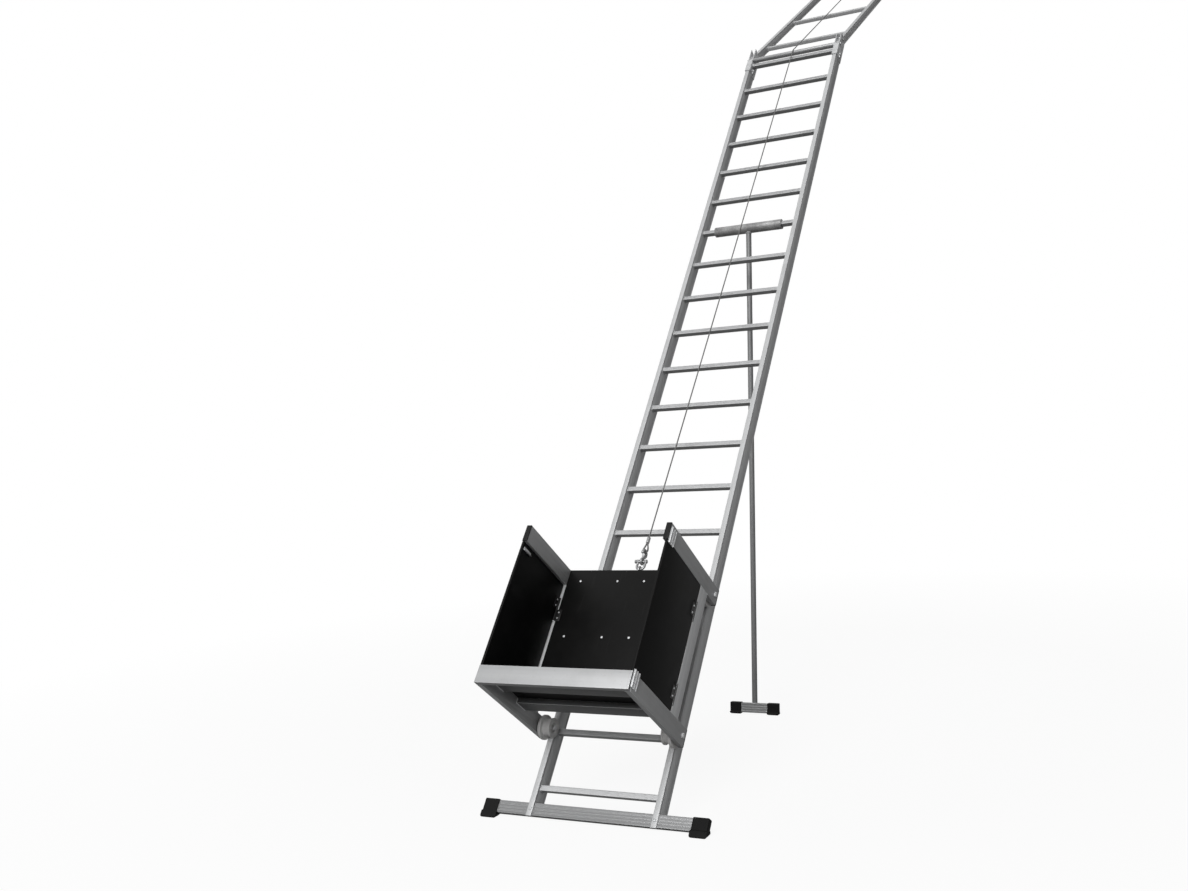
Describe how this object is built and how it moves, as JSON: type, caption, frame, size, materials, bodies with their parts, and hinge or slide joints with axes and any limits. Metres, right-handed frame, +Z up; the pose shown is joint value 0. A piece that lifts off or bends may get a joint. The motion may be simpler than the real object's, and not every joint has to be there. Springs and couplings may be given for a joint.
{
  "type": "material_hoist",
  "caption": "Inclined aluminium ladder hoist with a propped lower run, a bent upper run, a rope winch and a wheeled load carriage with black panels.",
  "frame": {"origin": "Middle of the bounding box on the ground, under the ladder.", "axes": "+X runs across the ladder along its rungs, +Y from the load side to the head, +Z up from the ground."},
  "size_m": [1.15, 5.5654, 5.5022],
  "materials": {
    "aluminium": "satin mill-finished extrusion",
    "machined_aluminium": "turned",
    "zinc_steel": "bright zinc plated",
    "black_steel": "black coated",
    "black_ply": "smooth black film on plywood",
    "rubber": "matte",
    "black_plastic": "moulded",
    "nylon": "satin nylon",
    "wire_rope": "stranded, galvanised",
    "grey_casting": "grey cast housing"
  },
  "bodies": {
    "ladder": {"left_stile": "aluminium", "right_stile": "aluminium", "rungs": "aluminium", "prop_rung": "aluminium", "stabiliser_bar": "aluminium", "left_stabiliser_cap": "rubber", "right_stabiliser_cap": "rubber", "ladder_bolts": "zinc_steel", "left_knee_plates": "zinc_steel", "right_knee_plates": "zinc_steel", "knee_axle": "zinc_steel", "knee_crossbar": "aluminium", "rope_lower": "wire_rope"},
    "carriage": {"left_top_arm": "aluminium", "right_top_arm": "aluminium", "left_bottom_arm": "aluminium", "right_bottom_arm": "aluminium", "front_bar": "aluminium", "left_post": "aluminium", "right_post": "aluminium", "carriage_rails": "aluminium", "floor_panel": "black_ply", "back_panel": "black_ply", "panel_bolts": "zinc_steel", "arm_plugs": "black_plastic", "wing_stops": "zinc_steel", "roller_axles": "zinc_steel", "post_hinge_leaves": "black_steel", "hinge_pins": "zinc_steel", "rope_lug": "zinc_steel", "shackle": "zinc_steel", "shackle_pin": "zinc_steel", "hook": "zinc_steel", "thimble": "zinc_steel"},
    "top_left_wheel": {"left_top_roller": "nylon"},
    "top_right_wheel": {"right_top_roller": "nylon"},
    "bottom_left_wheel": {"left_bottom_roller": "nylon"},
    "bottom_right_wheel": {"right_bottom_roller": "nylon"},
    "left_wing": {"left_wing_panel": "black_ply", "left_wing_leaves": "black_steel", "left_wing_tab": "zinc_steel"},
    "right_wing": {"right_wing_panel": "black_ply", "right_wing_leaves": "black_steel", "right_wing_tab": "zinc_steel"},
    "prop": {"prop_sleeve": "aluminium", "prop_tube": "aluminium", "prop_foot_bar": "aluminium", "prop_foot_caps": "rubber"},
    "rope_roller": {"knee_roller": "machined_aluminium"},
    "upper_section": {"left_upper_stile": "aluminium", "right_upper_stile": "aluminium", "upper_rungs": "aluminium", "knee_lock_bolts": "zinc_steel", "winch_bearings": "machined_aluminium", "winch_motor": "grey_casting", "rope_upper": "wire_rope"},
    "rope_drum": {"drum": "machined_aluminium", "drum_shaft": "machined_aluminium", "rope_winding": "wire_rope"}
  },
  "joints": [
    {"name": "carriage_slide", "type": "slide", "parent": "ladder", "child": "carriage", "axis": [0, 0.6157, 0.788], "range_m": [0, 3.8], "deforming": ["rope_lower"]},
    {"name": "top_left_roller_spin", "type": "hinge", "parent": "carriage", "child": "top_left_wheel", "pos_m": [-0.312, -1.85644, 0.94436], "axis": [1, 0, 0], "continuous": true},
    {"name": "top_right_roller_spin", "type": "hinge", "parent": "carriage", "child": "top_right_wheel", "pos_m": [0.312, -1.85644, 0.94436], "axis": [1, 0, 0], "continuous": true},
    {"name": "bottom_left_roller_spin", "type": "hinge", "parent": "carriage", "child": "bottom_left_wheel", "pos_m": [-0.312, -2.30217, 0.37384], "axis": [1, 0, 0], "continuous": true},
    {"name": "bottom_right_roller_spin", "type": "hinge", "parent": "carriage", "child": "bottom_right_wheel", "pos_m": [0.312, -2.30217, 0.37384], "axis": [1, 0, 0], "continuous": true},
    {"name": "left_wing_fold", "type": "hinge", "parent": "carriage", "child": "left_wing", "pos_m": [-0.3602, -2.22893, 0.74046], "axis": [0, 0.6157, 0.788], "range_deg": [0, 86]},
    {"name": "right_wing_fold", "type": "hinge", "parent": "carriage", "child": "right_wing", "pos_m": [0.3602, -2.22893, 0.74046], "axis": [0, -0.6157, -0.788], "range_deg": [0, 78]},
    {"name": "prop_swing", "type": "hinge", "parent": "ladder", "child": "prop", "pos_m": [0, -0.17408, 2.98397], "axis": [1, 0, 0], "range_deg": [-23, 30]},
    {"name": "knee_fold", "type": "hinge", "parent": "ladder", "child": "upper_section", "pos_m": [0, 0.8784, 4.35708], "axis": [1, 0, 0], "range_deg": [0, 21], "deforming": ["rope_lower"]},
    {"name": "rope_roller_spin", "type": "hinge", "parent": "ladder", "child": "rope_roller", "pos_m": [0, 0.8784, 4.35708], "axis": [1, 0, 0], "continuous": true},
    {"name": "drum_spin", "type": "hinge", "parent": "upper_section", "child": "rope_drum", "pos_m": [0, 2.64332, 5.40005], "axis": [1, 0, 0], "continuous": true}
  ],
  "couplings": [
    {"joint": "top_left_roller_spin", "follows": "carriage_slide", "rad_per_m": -25.189},
    {"joint": "top_right_roller_spin", "follows": "carriage_slide", "rad_per_m": -25.189},
    {"joint": "bottom_left_roller_spin", "follows": "carriage_slide", "rad_per_m": -25.189},
    {"joint": "bottom_right_roller_spin", "follows": "carriage_slide", "rad_per_m": -25.189},
    {"joint": "rope_roller_spin", "follows": "carriage_slide", "rad_per_m": -51.813},
    {"joint": "drum_spin", "follows": "carriage_slide", "rad_per_m": -29.154}
  ]
}
